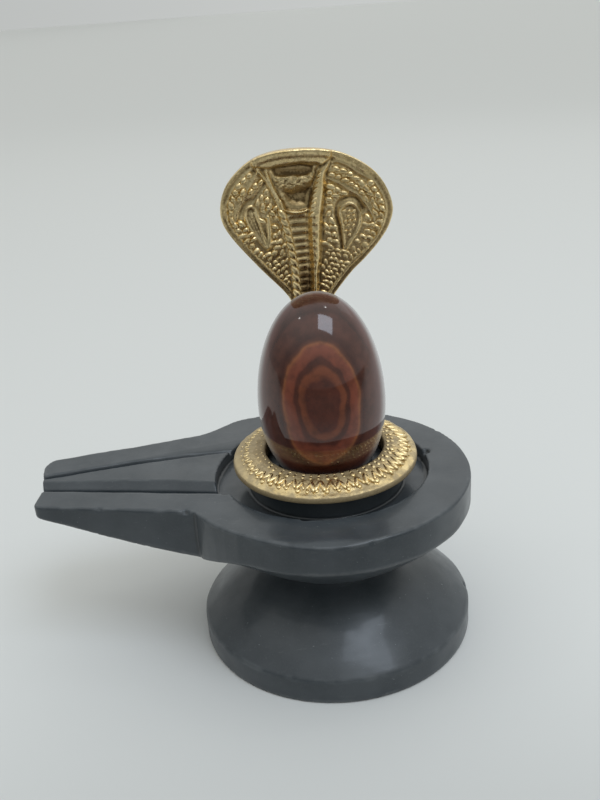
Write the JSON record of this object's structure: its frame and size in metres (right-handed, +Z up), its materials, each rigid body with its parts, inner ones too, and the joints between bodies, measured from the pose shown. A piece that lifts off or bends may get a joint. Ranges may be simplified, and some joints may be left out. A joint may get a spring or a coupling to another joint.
{
  "type": "shiva lingam stone",
  "caption": "Polished banded egg stone standing in a seat on a carved black stone base with a long channelled spout, ringed and shaded by a brass cobra.",
  "frame": {"origin": "centre of the round foot's resting face", "axes": "+Z up out of the foot, -X along the spout, the hood stands on the +Y side of the egg and faces -Y"},
  "size_m": [0.0969, 0.0633, 0.1083],
  "materials": {
    "banded_stone": "polished",
    "black_stone": "honed, satin where handled",
    "aged_brass": "cast, darkened in the recesses and rubbed bright on top"
  },
  "bodies": {
    "root": {"lingam_stone": "banded_stone", "yoni_base": "black_stone", "naga": "aged_brass"}
  },
  "joints": []
}
